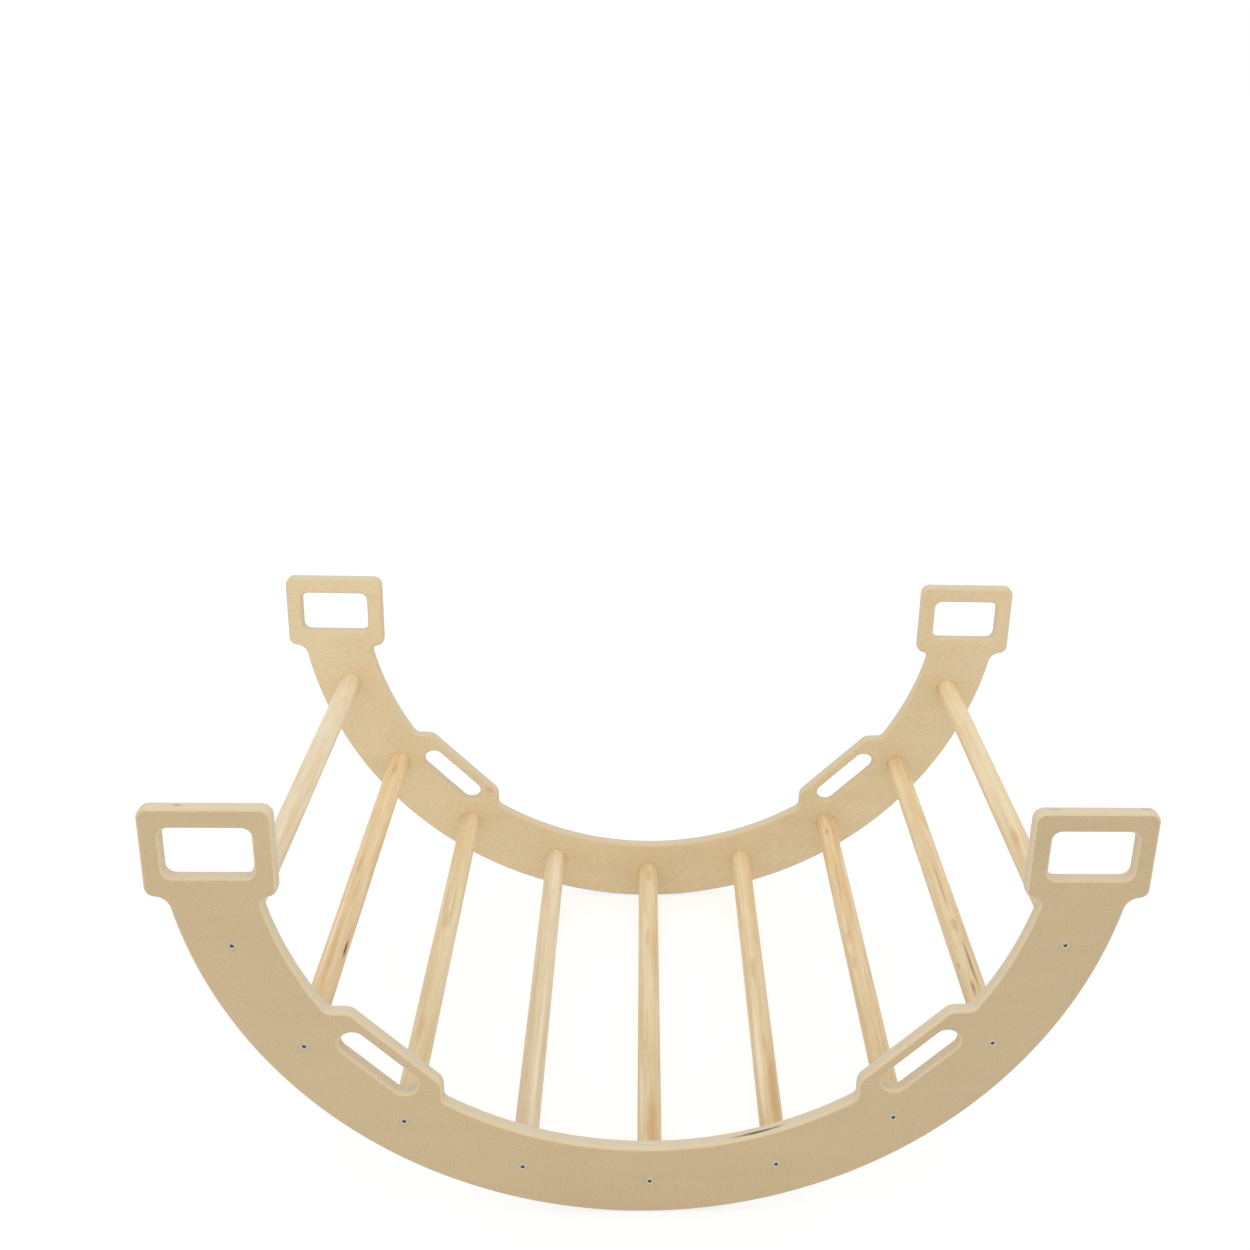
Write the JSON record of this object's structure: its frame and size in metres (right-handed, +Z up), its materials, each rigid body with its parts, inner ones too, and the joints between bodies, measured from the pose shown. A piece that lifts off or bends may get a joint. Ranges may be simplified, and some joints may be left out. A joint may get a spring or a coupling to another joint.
{
  "type": "rocker arch",
  "caption": "Curved wooden rocker and climbing arch: plywood side panels with handles and slotted side grips, joined by round rungs that are screwed in from outside.",
  "frame": {"origin": "on the floor, midway between the two side panels, under the centre of their arcs, with the arch standing as a rocker", "axes": "+Z up; +X along the length of the arch, from handle to handle; +Y across it, along the rungs, from the front side panel to the rear one"},
  "size_m": [1.03, 0.603, 0.52],
  "materials": {
    "side_panels": "clear matt lacquer on birch plywood",
    "rungs": "clear matt lacquer on pine dowel",
    "screws": "zinc plated"
  },
  "bodies": {
    "root": {"side_panel_front": "side_panels", "side_panel_rear": "side_panels", "front_screws": "screws", "rear_screws": "screws", "rung_1": "rungs", "rung_2": "rungs", "rung_3": "rungs", "rung_4": "rungs", "rung_5": "rungs", "rung_6": "rungs", "rung_7": "rungs", "rung_8": "rungs", "rung_9": "rungs"}
  },
  "joints": []
}
